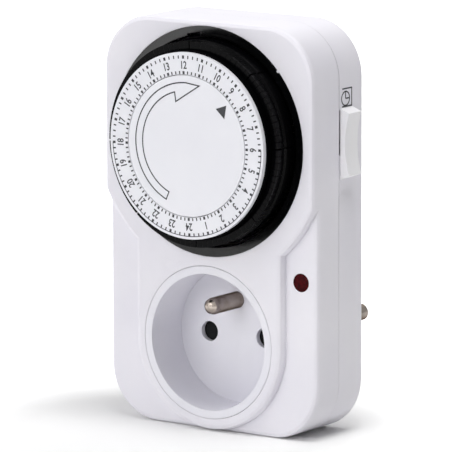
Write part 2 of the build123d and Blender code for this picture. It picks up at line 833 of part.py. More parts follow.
# Flat bent wire spring between the shutter and its stop.
spring_step = (spring_length - spring_wire) / (2 * spring_turns)
spring_points = []
for bar in range(2 * spring_turns + 1):
    bar_z = shutter_bottom - spring_wire / 2 - bar * spring_step
    near = spring_width / 2 * (1 if bar % 2 == 0 else -1)
    spring_points.append((near, bar_z))
    spring_points.append((-near, bar_z))
with BuildPart() as shutter_spring:
    with BuildSketch(at(shutter_back + (shutter_thickness - spring_wire) / 2)):
        with BuildLine() as wire:
            Polyline(*spring_points)
        trace(lines=wire.edges(), line_width=spring_wire)
    extrude(amount=spring_wire)

shutter_spring.part.label = "shutter_spring"
export_step(shutter_spring.part, "parts/shutter_spring.step")


# ------------------------------------------------------------------ fixed dial parts
# Black ring in the face round the dial, its front falling a little to the inside. A
# window in its bore and a nick for the cover's key; four lugs behind the face.
with BuildPart() as dial_bezel:
    with BuildSketch(section(0, dial_z)):
        with BuildLine():
            Polyline(
                (bezel_bore_radius, high_face_depth - bezel_thickness),
                (bezel_radius, high_face_depth - bezel_thickness),
                (bezel_radius, high_face_depth),
                (bezel_bore_radius, high_face_depth - bezel_slope),
                close=True,
            )
        make_face()
    revolve(axis=turning_axis(0, dial_z))
    with BuildSketch(on_axis(0, dial_z, inner_high - bezel_lug_thickness)):
        with PolarLocations(bezel_radius, 4, bezel_lug_angle):
            Rectangle(2 * bezel_lug_height, bezel_lug_width)
    extrude(amount=bezel_lug_thickness)
    with BuildSketch(on_axis(0, dial_z, high_face_depth - bezel_thickness)):
        with PolarLocations(bezel_bore_radius, 1, window_angle):
            Rectangle(2 * window_height, window_width)
        with PolarLocations(bezel_radius, 1, index_angle):
            Rectangle(2 * key_height, key_width + 2 * fit)
    extrude(amount=bezel_thickness, mode=Mode.SUBTRACT)

dial_bezel.part.label = "dial_bezel"
export_step(dial_bezel.part, "parts/dial_bezel.step")

# Post on the movement plate that the drum turns on.
disc_back = dial_front_depth - disc_thickness
with BuildPart() as dial_spindle:
    with BuildSketch(on_axis(0, dial_z, plate_front)):
        Circle(spindle_radius)
    extrude(amount=disc_back - plate_front)

dial_spindle.part.label = "dial_spindle"
export_step(dial_spindle.part, "parts/dial_spindle.step")

# White disc with the arrow, fixed on the spindle inside the number ring.
with BuildPart() as centre_disc:
    with BuildSketch(on_axis(0, dial_z, disc_back)):
        Circle(disc_radius)
    extrude(amount=disc_thickness)

centre_disc.part.label = "centre_disc"
export_step(centre_disc.part, "parts/centre_disc.step")


# ------------------------------------------------------------------- dial that turns
# Drum: hub, web and rim in one moulding. The rim is an inside gear, and a ring of
# flats round its back edge, joined to it by a bar every three hours, holds the
# tappets in.
web_back = drum_front - drum_web_thickness
hub_back = plate_front + fit
bar_length = ring_inner_flat - drum_radius + 2 * bar_overlap
with BuildPart() as tappet_drum:
    with BuildSketch(on_axis(0, dial_z, drum_flange_back)):
        Circle(drum_radius)
    extrude(amount=drum_front - drum_flange_back)
    with BuildSketch(on_axis(0, dial_z, drum_flange_back)):
        gear_outline(dial_gear_teeth, inside=True)
        Circle(drum_hub_radius, mode=Mode.SUBTRACT)
    extrude(amount=web_back - drum_flange_back, mode=Mode.SUBTRACT)
    with BuildSketch(on_axis(0, dial_z, hub_back)):
        Circle(drum_hub_radius)
    extrude(amount=drum_flange_back - hub_back)
    with BuildSketch(on_axis(0, dial_z, hub_back)):
        Circle(spindle_radius + spindle_fit)
    extrude(amount=drum_front - hub_back, mode=Mode.SUBTRACT)
    with BuildSketch(on_axis(0, dial_z, drum_flange_back)):
        RegularPolygon(drum_ring_flat, hours, major_radius=False, rotation=dial_turn)
        RegularPolygon(
            ring_inner_flat,
            hours,
            major_radius=False,
            rotation=dial_turn,
            mode=Mode.SUBTRACT,
        )
        with PolarLocations((drum_radius + ring_inner_flat) / 2, drum_bars, dial_turn):
            Rectangle(bar_length, drum_bar_width)
    extrude(amount=drum_flange_thickness)

tappet_drum.part.label = "tappet_drum"
export_step(tappet_drum.part, "parts/tappet_drum.step")

# White ring with the hours, flat on the drum.
with BuildPart() as number_ring:
    with BuildSketch(section(0, dial_z)):
        band(number_ring_bore, number_ring_radius, drum_front, dial_front_depth)
    revolve(axis=turning_axis(0, dial_z))

number_ring.part.label = "number_ring"
export_step(number_ring.part, "parts/number_ring.step")

# One tappet in its own frame: X is the radius, Z the depth. It is wider outside, so the
# gap to its neighbours stays the same. A groove runs across its finger end and its leg
# goes down through the ring.
groove_top = tappet_front_depth - groove_front
with BuildPart() as tappet:
    with BuildSketch(Plane.XZ):
        with BuildLine():
            Polyline(
                (tappet_inner_radius, tappet_front_depth),
                (tappet_outer_radius, tappet_front_depth),
                (tappet_outer_radius, groove_top),
                (tappet_outer_radius - groove_height, groove_top - groove_width / 2),
                (tappet_outer_radius, groove_top - groove_width),
                (tappet_outer_radius, tappet_back_depth),
                (tappet_inner_radius, tappet_back_depth),
                close=True,
            )
        make_face()
    extrude(amount=tappet_outer_width, both=True)
    with BuildSketch(Plane.XY.offset(tappet_back_depth)):
        with BuildLine():
            Polyline(
                (tappet_inner_radius, -tappet_inner_width / 2),
                (tappet_outer_radius, -tappet_outer_width / 2),
                (tappet_outer_radius, tappet_outer_width / 2),
                (tappet_inner_radius, tappet_inner_width / 2),
                close=True,
            )
        make_face()
    extrude(amount=tappet_front_depth - tappet_back_depth, mode=Mode.INTERSECT)

# The four quarter-hour tappets of each hour. The hours run anticlockwise from the foot
# of the dial, and each bar of the drum has as many hours to its left as to its right.
hours_per_bar = hours // drum_bars
for hour in range(1, hours + 1):
    bars_passed, place = divmod(hour % hours, hours_per_bar)
    first_angle = (
        dial_turn
        - 90
        + bars_passed * 360 / drum_bars
        + bar_room / 2
        + (place * tappets_per_hour + 0.5) * tappet_pitch
    )
    with BuildPart(on_axis(0, dial_z)) as hour_tappets:
        with PolarLocations(
            0, tappets_per_hour, first_angle, tappets_per_hour * tappet_pitch
        ):
            add(tappet.part)
    hour_tappets.part.label = f"tappets_hour_{hour:02d}"
    export_step(hour_tappets.part, f"parts/tappets_hour_{hour:02d}.step")


# ----------------------------------------------------------------------- movement
# Motor with its reduction gear in a closed case, open only for the output shaft.
with BuildPart() as motor_unit:
    with BuildSketch(on_axis(0, motor_z, back_wall)) as case_outline:
        Rectangle(motor_width, motor_height)
        chamfer(case_outline.vertices(), motor_chamfer)
    extrude(amount=plate_back - back_wall)
    with BuildSketch(on_axis(pinion_x, pinion_z, plate_back - motor_shaft_depth)):
        Circle(pinion_shaft_radius + shaft_fit)
    extrude(amount=motor_shaft_depth, mode=Mode.SUBTRACT)

motor_unit.part.label = "motor_unit"
export_step(motor_unit.part, "parts/motor_unit.step")

# Plate on the motor that carries the spindle, with a hole for the output shaft.
with BuildPart() as movement_plate:
    with BuildSketch(on_axis(0, motor_z, plate_back)) as plate_outline:
        Rectangle(motor_width + 2 * plate_margin, motor_height + 2 * plate_margin)
        chamfer(plate_outline.vertices(), motor_chamfer)
    extrude(amount=plate_thickness)
    with BuildSketch(on_axis(pinion_x, pinion_z, plate_back)):
        Circle(pinion_shaft_radius + plate_hole_clearance)
    extrude(amount=plate_thickness, mode=Mode.SUBTRACT)

movement_plate.part.label = "movement_plate"
export_step(movement_plate.part, "parts/movement_plate.step")

# Output pinion, turned so that a tooth stands in a gap of the drum's inside gear.
gear_phase = (pinion_angle * dial_gear_teeth / 360) % 1
pinion_turn = pinion_angle + (1 - gear_phase) * 360 / pinion_teeth
shaft_back = plate_back - motor_shaft_depth + fit
with BuildPart() as drive_pinion:
    with BuildSketch(on_axis(pinion_x, pinion_z, pinion_back)):
        gear_outline(pinion_teeth, pinion_turn)
    extrude(amount=pinion_length)
    with BuildSketch(on_axis(pinion_x, pinion_z, shaft_back)):
        Circle(pinion_shaft_radius)
    extrude(amount=pinion_back - shaft_back)

drive_pinion.part.label = "drive_pinion"
export_step(drive_pinion.part, "parts/drive_pinion.step")


# --------------------------------------------------------------------- trip lever
# Lever with a moulded axle at its foot, in the slots of the rear cover's ears. Its
# nose stands behind the tappets of the hour at the index, and a tappet that is pushed
# in swings it on to the plunger.
nose_radius = (tappet_outer_radius + tappet_inner_radius) / 2
nose_x = nose_radius * math.cos(math.radians(index_angle))
nose_z = dial_z + nose_radius * math.sin(math.radians(index_angle))
nose_front = tappet_back_depth - nose_gap
lever_front = lever_back + lever_thickness
lever_top = nose_z + nose_length / 2
with BuildPart() as trip_lever:
    with BuildSketch(side_section(lever_right_x)):
        block(lever_back, lever_front, lever_pivot_z, lever_top)
        with Locations((lever_pivot_depth, lever_pivot_z)):
            Rectangle(2 * lever_foot, 2 * lever_foot)
    extrude(amount=lever_width)
    with BuildSketch(side_section((lever_left_x + lever_right_x) / 2)):
        with Locations((lever_pivot_depth, lever_pivot_z)):
            Circle(lever_pin_radius)
    extrude(amount=lever_axle_length / 2, both=True)
    with BuildSketch(side_section(nose_x + nose_width / 2)):
        block(lever_back, nose_front, lever_top - nose_length, lever_top)
    extrude(amount=nose_width)

trip_lever.part.label = "trip_lever"
export_step(trip_lever.part, "parts/trip_lever.step")

# Snap-action switch under the lever.
switch_top = back_wall + switch_height
with BuildPart() as switch_body:
    with BuildSketch(at(back_wall)):
        block(
            switch_left_x,
            switch_left_x + switch_width,
            switch_bottom,
            switch_bottom + switch_length,
        )
    extrude(amount=switch_height)
    with BuildSketch(on_axis(switch_mid_x, plunger_z, switch_top)):
        Rectangle(plunger_side + 2 * plunger_fit, plunger_side + 2 * plunger_fit)
    extrude(amount=-(plunger_depth + plunger_travel + fit), mode=Mode.SUBTRACT)

switch_body.part.label = "switch_body"
export_step(switch_body.part, "parts/switch_body.step")

with BuildPart() as switch_plunger:
    with BuildSketch(on_axis(switch_mid_x, plunger_z, switch_top - plunger_depth)):
        Rectangle(plunger_side, plunger_side)
    extrude(amount=lever_back - plunger_gap - switch_top + plunger_depth)

switch_plunger.part.label = "switch_plunger"
export_step(switch_plunger.part, "parts/switch_plunger.step")


# ---------------------------------------------------------------------- mode knob
# Slider on the right side: a dished finger piece, a neck through the slot and a flange
# with a finger inside. It is up for timed switching and down for always on.
knob_left_x = side_x + knob_gap
knob_right_x = side_x + knob_height
neck_bottom = knob_neck_top - knob_neck_length
flange_right_x = side_x - wall - knob_gap
with BuildPart() as mode_knob:
    with BuildSketch(at(knob_back_depth)):
        with BuildLine():
            Polyline(
                (knob_right_x, knob_bottom + knob_taper),
                (knob_left_x, knob_bottom),
                (knob_left_x, knob_top),
                (knob_right_x, knob_top - knob_taper),
            )
            ThreePointArc(
                (knob_right_x, knob_top - knob_taper),
                (knob_right_x - knob_dish, (knob_bottom + knob_top) / 2),
                (knob_right_x, knob_bottom + knob_taper),
            )
        make_face()
    extrude(amount=knob_width)
    with BuildSketch(at(knob_neck_back)):
        block(flange_right_x, knob_left_x, neck_bottom, knob_neck_top)
    extrude(amount=knob_neck_front - knob_neck_back)
    with BuildSketch(at(knob_neck_back - knob_flange_margin)):
        block(
            flange_right_x - knob_flange_thickness,
            flange_right_x,
            neck_bottom - knob_flange_margin,
            knob_neck_top + knob_flange_margin,
        )
    extrude(amount=knob_neck_front - knob_neck_back + 2 * knob_flange_margin)
    with BuildSketch(at(knob_finger_back)):
        block(
            lever_right_x + knob_finger_gap,
            flange_right_x,
            neck_bottom + knob_finger_top - knob_finger_height,
            neck_bottom + knob_finger_top,
        )
    extrude(amount=knob_finger_thickness)

mode_knob.part.label = "mode_knob"
export_step(mode_knob.part, "parts/mode_knob.step")


# --------------------------------------------------------------------------- lamp
with BuildPart() as lamp_lens:
    with BuildSketch(on_axis(lamp_x, lamp_z, low_face_depth - lamp_lens_thickness)):
        Circle(lamp_radius)
    extrude(amount=lamp_lens_thickness)

lamp_lens.part.label = "lamp_lens"
export_step(lamp_lens.part, "parts/lamp_lens.step")

with BuildPart() as neon_lamp:
    with BuildSketch(on_axis(lamp_x, lamp_z, neon_back)):
        Circle(neon_radius)
    extrude(amount=neon_length)

neon_lamp.part.label = "neon_lamp"
export_step(neon_lamp.part, "parts/neon_lamp.step")
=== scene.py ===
# %% [markdown]
# # A plug-in timer switch, dressed for the studio
# The timer comes in as a finished CAD assembly: two white covers, a black dial with
# its ring of tappets, a round socket in front and a plug behind. Blender gives each
# piece its finish, adds the printed marks and sets up the picture. Everything is in
# metres, and the frame that is loaded here is never moved.

# %% Load the assembly
import math

import bmesh
import bpy
from mathutils import Matrix, Quaternion, Vector


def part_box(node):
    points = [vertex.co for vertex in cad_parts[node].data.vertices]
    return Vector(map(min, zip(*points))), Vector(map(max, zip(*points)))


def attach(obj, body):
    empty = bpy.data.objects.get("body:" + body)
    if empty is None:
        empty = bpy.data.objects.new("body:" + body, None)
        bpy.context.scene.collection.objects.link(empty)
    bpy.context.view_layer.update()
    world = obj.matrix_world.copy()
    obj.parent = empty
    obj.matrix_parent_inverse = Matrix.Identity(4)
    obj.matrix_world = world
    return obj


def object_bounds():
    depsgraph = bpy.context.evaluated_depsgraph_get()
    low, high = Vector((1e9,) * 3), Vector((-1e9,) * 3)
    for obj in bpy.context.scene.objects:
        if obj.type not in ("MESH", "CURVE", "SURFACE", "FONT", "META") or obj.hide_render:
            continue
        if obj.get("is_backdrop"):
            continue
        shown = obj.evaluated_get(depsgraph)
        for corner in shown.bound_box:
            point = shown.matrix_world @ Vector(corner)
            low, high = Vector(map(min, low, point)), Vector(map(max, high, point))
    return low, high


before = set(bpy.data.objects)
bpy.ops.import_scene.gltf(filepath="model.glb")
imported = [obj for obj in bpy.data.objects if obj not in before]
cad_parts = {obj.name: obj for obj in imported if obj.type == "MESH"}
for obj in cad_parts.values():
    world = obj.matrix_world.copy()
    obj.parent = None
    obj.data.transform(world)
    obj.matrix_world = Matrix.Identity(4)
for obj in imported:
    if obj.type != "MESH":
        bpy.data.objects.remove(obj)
cad_low, cad_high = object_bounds()
MM = 0.001
print(f"{len(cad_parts)} CAD pieces, {(cad_high.z - cad_low.z) / MM:.1f} mm high")

# %% [markdown]
# ## Where things are
# Marks have to sit exactly on the piece that carries them. Reading the planes and
# centres from the CAD boxes keeps them there if a size changes, where typed numbers
# would drift off. The front of a piece is its lowest Y, because the front looks to -Y.

# %% Planes and centres taken from the CAD
ring_low, ring_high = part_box("number_ring")
disc_low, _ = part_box("centre_disc")
front_low, front_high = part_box("front_cover")
dial_x = (ring_low.x + ring_high.x) / 2
dial_z = (ring_low.z + ring_high.z) / 2
ring_front = ring_low.y
disc_front = disc_low.y
side_x = front_high.x
tongue_length = 2.0  # mm that the front cover's tongues reach past the seam
seam_y = front_high.y - tongue_length * MM
print(f"dial axis at z {dial_z / MM:.2f} mm, ring front at y {ring_front / MM:.2f} mm")

# %% [markdown]
# ## The camera
# A long lens from 1.4 metres away gives the flat, calm view of a shop picture. The
# timer is seen from its right and a little from above, so the camera is placed by two
# angles round a target in the middle of the housing, which is easier to adjust than
# a position and a rotation.

# %% Camera
camera_azimuth = math.radians(35.49)
camera_elevation = math.radians(9.75)
camera_roll = math.radians(-0.16)
camera_distance = 1.4092
camera_target = Vector((-2.54, -12.0, 31.06)) * MM
lens_length = 399.3
sensor_width = 36.0

towards_camera = Vector((
    math.sin(camera_azimuth) * math.cos(camera_elevation),
    -math.cos(camera_azimuth) * math.cos(camera_elevation),
    math.sin(camera_elevation),
))
camera_data = bpy.data.cameras.new("camera")
camera_data.lens = lens_length
camera_data.sensor_width = sensor_width
camera_data.clip_start = 0.05
camera_data.clip_end = 20.0
camera = bpy.data.objects.new("camera", camera_data)
bpy.context.scene.collection.objects.link(camera)
camera.location = camera_target + towards_camera * camera_distance
camera.rotation_mode = "QUATERNION"
camera.rotation_quaternion = (
    (-towards_camera).to_track_quat("-Z", "Y") @ Quaternion((0, 0, 1), camera_roll)
)
bpy.context.scene.camera = camera
bpy.context.scene.view_settings.view_transform = "Standard"
print("camera at", [round(v, 3) for v in camera.location])

# %% [markdown]
# ## Floor and light
# The timer stands on white paper with only a faint shadow. A floor that is lit until
# it is white would drag the pale housing to white with it. So the lamps stay at the
# level where the plastic shows its own tone, and a Light Path node lets the floor and
# the world glow for the camera and for reflections only. Close to the timer the glow
# is weak, so the shadow stays, and further off it rises until the paper is plain white.
# The rise is measured from the paper's own origin, which lies before the timer and a
# little to the left, where its shadow falls.

# %% Colours are written as on a screen and turned into linear light here
def from_screen(red, green, blue):
    """Linear colour, with alpha, of a screen colour given from 0 to 255."""
    linear = []
    for value in (red, green, blue):
        share = value / 255
        if share <= 0.04045:
            linear.append(share / 12.92)
        else:
            linear.append(((share + 0.055) / 1.055) ** 2.4)
    return (*linear, 1.0)


def new_material(name):
    """A node material with its Principled shader: (material, nodes, links, shader)."""
    material = bpy.data.materials.new(name)
    material.use_nodes = True
    tree = material.node_tree
    return material, tree.nodes, tree.links, tree.nodes["Principled BSDF"]


def seen_directly(nodes, links):
    """1 for what the camera sees, also in a reflection or through glass, else 0."""
    path = nodes.new("ShaderNodeLightPath")
    glossy = nodes.new("ShaderNodeMath")
    glossy.operation = "MAXIMUM"
    through = nodes.new("ShaderNodeMath")
    through.operation = "MAXIMUM"
    links.new(path.outputs["Is Camera Ray"], glossy.inputs[0])
    links.new(path.outputs["Is Glossy Ray"], glossy.inputs[1])
    links.new(glossy.outputs[0], through.inputs[0])
    links.new(path.outputs["Is Transmission Ray"], through.inputs[1])
    return through.outputs[0]


paper_white = from_screen(245, 245, 244)
print("white paper in linear light:", [round(v, 2) for v in paper_white])

# %% Paper floor with a glow of its own: sizes in metres
paper_size = 6.0
shadow_middle = (-0.01, -0.03)
near_glow = 0.02
near_reach = 0.042
far_glow = 1.0
far_reach = 0.11
floor_gap = 0.05 * MM
paper, nodes, links, shader = new_material("white_paper")
shader.inputs["Base Color"].default_value = paper_white
shader.inputs["Roughness"].default_value = 0.9
glow = nodes.new("ShaderNodeEmission")
glow.inputs["Color"].default_value = (1, 1, 1, 1)
place = nodes.new("ShaderNodeTexCoord")
reach = nodes.new("ShaderNodeVectorMath")
reach.operation = "LENGTH"
rise = nodes.new("ShaderNodeMapRange")
rise.interpolation_type = "SMOOTHSTEP"
rise.inputs["From Min"].default_value = near_reach
rise.inputs["From Max"].default_value = far_reach
rise.inputs["To Min"].default_value = near_glow
rise.inputs["To Max"].default_value = far_glow
glow_level = nodes.new("ShaderNodeMath")
glow_level.operation = "MULTIPLY"
both = nodes.new("ShaderNodeAddShader")
links.new(place.outputs["Object"], reach.inputs[0])
links.new(reach.outputs["Value"], rise.inputs["Value"])
links.new(seen_directly(nodes, links), glow_level.inputs[0])
links.new(rise.outputs["Result"], glow_level.inputs[1])
links.new(glow_level.outputs[0], glow.inputs["Strength"])
links.new(shader.outputs[0], both.inputs[0])
links.new(glow.outputs[0], both.inputs[1])
links.new(both.outputs[0], nodes["Material Output"].inputs["Surface"])

floor_mesh = bpy.data.meshes.new("paper_floor")
half = paper_size / 2
floor_z = cad_low.z - floor_gap
floor_mesh.from_pydata(
    [(-half, -half, 0), (half, -half, 0), (half, half, 0), (-half, half, 0)], [], [(0, 1, 2, 3)]
)
floor_mesh.materials.append(paper)
floor = bpy.data.objects.new("paper_floor", floor_mesh)
floor.location = (*shadow_middle, floor_z)
bpy.context.scene.collection.objects.link(floor)
floor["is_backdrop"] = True
print(f"floor at z {floor_z / MM:.2f} mm")

# %% [markdown]
# ## The room
# The room itself is light on the left and nearly dark on the right, which parts the
# front of the housing from its side. Its light falls off with the X of the direction
# that it comes from. What the camera or a reflection sees of it is plain white.

# %% World
room_left = 0.58
room_right = 0.02
left_end = -0.5
right_end = 0.3
world = bpy.data.worlds.new("studio")
bpy.context.scene.world = world
world.use_nodes = True
nodes, links = world.node_tree.nodes, world.node_tree.links
backdrop = nodes["Background"]
backdrop.inputs["Color"].default_value = (1, 1, 1, 1)
way = nodes.new("ShaderNodeTexCoord")
axes = nodes.new("ShaderNodeSeparateXYZ")
links.new(way.outputs["Generated"], axes.inputs[0])
room = nodes.new("ShaderNodeMapRange")
room.interpolation_type = "SMOOTHSTEP"
room.inputs["From Min"].default_value = left_end
room.inputs["From Max"].default_value = right_end
room.inputs["To Min"].default_value = room_left
room.inputs["To Max"].default_value = room_right
links.new(axes.outputs["X"], room.inputs["Value"])
ambient = nodes.new("ShaderNodeBackground")
ambient.inputs["Color"].default_value = (0.97, 0.97, 1.0, 1)
links.new(room.outputs["Result"], ambient.inputs["Strength"])
chosen = nodes.new("ShaderNodeMixShader")
links.new(seen_directly(nodes, links), chosen.inputs[0])
links.new(ambient.outputs[0], chosen.inputs[1])
links.new(backdrop.outputs[0], chosen.inputs[2])
links.new(chosen.outputs[0], nodes["World Output"].inputs["Surface"])
print(f"world light {room_left} on the left, {room_right} on the right")

# %% Softboxes: (name, place in metres, width, height, power in watts)
softboxes = [
    ("softbox_left", (-0.40, -1.30, 0.60), 1.10, 0.80, 4.2),
    ("softbox_front", (0.10, -1.30, 0.70), 0.70, 0.60, 2.8),
    ("softbox_above", (0.26, -0.15, 1.08), 0.50, 0.50, 8.0),
    ("softbox_back", (-0.30, 1.20, 0.90), 0.80, 0.60, 1.6),
]
lit_point = Vector((0, -0.01, 0.03))
for name, place, width, height, power in softboxes:
    lamp = bpy.data.lights.new(name, "AREA")
    lamp.shape = "RECTANGLE"
    lamp.size = width
    lamp.size_y = height
    lamp.energy = power
    lamp_object = bpy.data.objects.new(name, lamp)
    bpy.context.scene.collection.objects.link(lamp_object)
    lamp_object.location = place
    aim = lit_point - Vector(place)
    lamp_object.rotation_euler = aim.to_track_quat("-Z", "Y").to_euler()
    print(f"{name}: {power} W at {aim.length:.2f} m")

# %% [markdown]
# ## White moulded plastic
# The housing is satin plastic from a finely etched mould. Close up it has a grain of a
# tenth of a millimetre, and over a hand's width its tone drifts a little. A flat grey
# with one roughness looks like paint, so two Noise textures drive it: a fine one for
# the bump and the sheen, a coarse one for the tone. A Bevel node rounds the edges for
# the light alone, which leaves the CAD mesh as it is. Metal, lens and ink are built
# from the same few steps, so each step is a helper of its own.

# %% Steps that the materials share
noise_low = 0.3
noise_high = 0.7


def between(low, high, factor, nodes, links):
    """A Map Range that spreads a noise's middle over low to high."""
    spread = nodes.new("ShaderNodeMapRange")
    spread.inputs["From Min"].default_value = noise_low
    spread.inputs["From Max"].default_value = noise_high
    spread.inputs["To Min"].default_value = low
    spread.inputs["To Max"].default_value = high
    links.new(factor, spread.inputs["Value"])
    return spread.outputs["Result"]


def noise(scale, detail, nodes, links):
    """A Noise texture in the coordinates of the piece, in metres."""
    place = nodes.new("ShaderNodeTexCoord")
    texture = nodes.new("ShaderNodeTexNoise")
    texture.inputs["Scale"].default_value = scale
    texture.inputs["Detail"].default_value = detail
    links.new(place.outputs["Object"], texture.inputs["Vector"])
    return texture.outputs["Fac"]


def colour_mix(first, second, factor, nodes, links):
    """The first colour where the factor is 0 and the second where it is 1."""
    mix = nodes.new("ShaderNodeMix")
    mix.data_type = "RGBA"
    # For colours, sockets 0, 6 and 7 are the factor, A and B, and output 2 the result.
    mix.inputs[6].default_value = first
    mix.inputs[7].default_value = second
    links.new(factor, mix.inputs[0])
    return mix.outputs[2]


def relief(height, depth, strength, edge, nodes, links):
    """A normal with bumps of that depth over edges rounded by edge, both in mm."""
    rounded = nodes.new("ShaderNodeBevel")
    rounded.samples = 4
    rounded.inputs["Radius"].default_value = edge * MM
    bump = nodes.new("ShaderNodeBump")
    bump.inputs["Distance"].default_value = depth * MM
    bump.inputs["Strength"].default_value = strength
    links.new(height, bump.inputs["Height"])
    links.new(rounded.outputs["Normal"], bump.inputs["Normal"])
    return bump.outputs["Normal"]


print("helpers for the materials ready")


# %% One recipe for every moulded plastic
drift_scale = 45.0  # patches of about 20 mm
drift_detail = 3.0
grain_detail = 2.0
grain_strength = 0.6
sheen_spread = 0.05


def moulded_plastic(name, dark, light, roughness, grain, depth, edge=0.25, shine=0.5):
    """Plastic that drifts from dark to light, with a moulded grain. grain is its size,
    depth its height and edge the radius that its edges are rounded by, all in mm."""
    material, nodes, links, shader = new_material(name)
    drift = between(0, 1, noise(drift_scale, drift_detail, nodes, links), nodes, links)
    skin = noise(1 / (grain * MM), grain_detail, nodes, links)
    sheen = between(roughness - sheen_spread, roughness + sheen_spread, skin, nodes, links)
    grained = relief(skin, depth, grain_strength, edge, nodes, links)
    shader.inputs["Specular IOR Level"].default_value = shine
    links.new(colour_mix(dark, light, drift, nodes, links), shader.inputs["Base Color"])
    links.new(sheen, shader.inputs["Roughness"])
    links.new(grained, shader.inputs["Normal"])
    return material


def dress(node, material):
    """Gives a CAD piece its finish."""
    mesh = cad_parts[node].data
    mesh.materials.clear()
    mesh.materials.append(material)


print("plastic recipe ready")

# %% The white pieces
housing_white = moulded_plastic(
    "housing_white", from_screen(234, 232, 240), from_screen(239, 237, 243),
    roughness=0.42, grain=0.16, depth=0.004, edge=0.45,
)
socket_white = moulded_plastic(
    "socket_white", from_screen(233, 232, 240), from_screen(238, 237, 243),
    roughness=0.34, grain=0.2, depth=0.003, edge=0.3,
)
knob_white = moulded_plastic(
    "knob_white", from_screen(247, 246, 249), from_screen(251, 250, 252),
    roughness=0.38, grain=0.18, depth=0.004, edge=0.2,
)
dial_white = moulded_plastic(
    "dial_white", from_screen(233, 233, 239), from_screen(238, 238, 243),
    roughness=0.36, grain=0.2, depth=0.002, edge=0.15,
)
for node in ("front_cover", "rear_cover"):
    dress(node, housing_white)
dress("socket_well", socket_white)
dress("mode_knob", knob_white)
dress("number_ring", dial_white)
dress("centre_disc", dial_white)
print("white pieces dressed")

# %% [markdown]
# ## Gloss black dial
# Drum, tappets and bezel are polished black plastic. What one sees of them is mostly
# what they mirror, so the colour is nearly nothing and the roughness is low. A slow,
# shallow waviness bends the reflections, as on a moulding that cooled unevenly.

# %% Gloss black
def gloss_black(name, roughness, wave, depth, edge, shine):
    """Polished black plastic with slow waves of that size and height in mm."""
    return moulded_plastic(
        name, from_screen(3, 3, 4), from_screen(6, 6, 8), roughness, wave, depth, edge, shine
    )


bezel_black = gloss_black(
    "bezel_black", roughness=0.14, wave=2.5, depth=0.03, edge=0.3, shine=0.5
)
drum_black = gloss_black(
    "drum_black", roughness=0.20, wave=1.5, depth=0.02, edge=0.15, shine=0.02
)
tappet_black = gloss_black(
    "tappet_black", roughness=0.10, wave=0.6, depth=0.03, edge=0.25, shine=0.05
)
dress("dial_bezel", bezel_black)
dress("tappet_drum", drum_black)
tappet_nodes = [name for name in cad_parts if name.startswith("tappets_hour_")]
for node in tappet_nodes:
    dress(node, tappet_black)
print(f"{len(tappet_nodes)} groups of tappets in gloss black")

# %% [markdown]
# ## Metal
# The pins are turned brass with a nickel plating: a warm grey mirror with fine rings
# from the lathe. The rings are a Wave texture along the pin's own axis, which is Y in
# this frame, and a noise mixes in the bloom of tarnish. The plug's pins get a darker
# copy of the nickel, whose colour paints the dark reflection that they show. The strips
# inside stay bare brass.

# %% Turned and plated metal
bands_pitch = 0.3142  # of a Wave texture at scale 1, in metres
ring_strength = 0.5
stain_scale = 260.0  # patches of about 4 mm
stain_detail = 4.0
pin_edge = 0.6  # mm


def turned_metal(name, bright, tarnished, roughness, ring_pitch, ring_depth):
    """Metal with rings across Y and a bloom of tarnish. ring_pitch and ring_depth are
    in mm."""
    material, nodes, links, shader = new_material(name)
    place = nodes.new("ShaderNodeTexCoord")
    rings = nodes.new("ShaderNodeTexWave")
    rings.wave_type = "BANDS"
    rings.bands_direction = "Y"
    rings.inputs["Scale"].default_value = bands_pitch / (ring_pitch * MM)
    rings.inputs["Distortion"].default_value = 1.5
    rings.inputs["Detail"].default_value = 2.0
    links.new(place.outputs["Object"], rings.inputs["Vector"])
    stains = noise(stain_scale, stain_detail, nodes, links)
    tarnish = between(0, 1, stains, nodes, links)
    haze = between(roughness - 0.06, roughness + 0.08, stains, nodes, links)
    ringed = relief(rings.outputs["Fac"], ring_depth, ring_strength, pin_edge, nodes, links)
    shader.inputs["Metallic"].default_value = 1.0
    shader.inputs["Specular Tint"].default_value = from_screen(110, 102, 97)
    links.new(colour_mix(bright, tarnished, tarnish, nodes, links), shader.inputs["Base Color"])
    links.new(haze, shader.inputs["Roughness"])
    links.new(ringed, shader.inputs["Normal"])
    return material


nickel = turned_metal(
    "nickel_plating", from_screen(180, 170, 162), from_screen(138, 128, 120),
    roughness=0.12, ring_pitch=0.25, ring_depth=0.004,
)
# A darker copy of the same nickel for the plug's pins: its colour is a painted dark reflection
dark_reflection_nickel = turned_metal(
    "dark_reflection_nickel", from_screen(142, 135, 129), from_screen(116, 110, 105),
    roughness=0.16, ring_pitch=0.25, ring_depth=0.004,
)
brass = turned_metal(
    "bare_brass", from_screen(208, 172, 100), from_screen(184, 146, 80),
    roughness=0.3, ring_pitch=0.4, ring_depth=0.003,
)
spring_steel = turned_metal(
    "spring_steel", from_screen(156, 156, 158), from_screen(132, 131, 130),
    roughness=0.35, ring_pitch=0.2, ring_depth=0.002,
)
for node in ("earth_pin", "plug_side_contacts"):
    dress(node, nickel)
dress("plug_pins", dark_reflection_nickel)
for node in ("earth_strap", "live_contact", "neutral_contact", "live_feed"):
    dress(node, brass)
dress("shutter_spring", spring_steel)
print("metal pieces dressed")
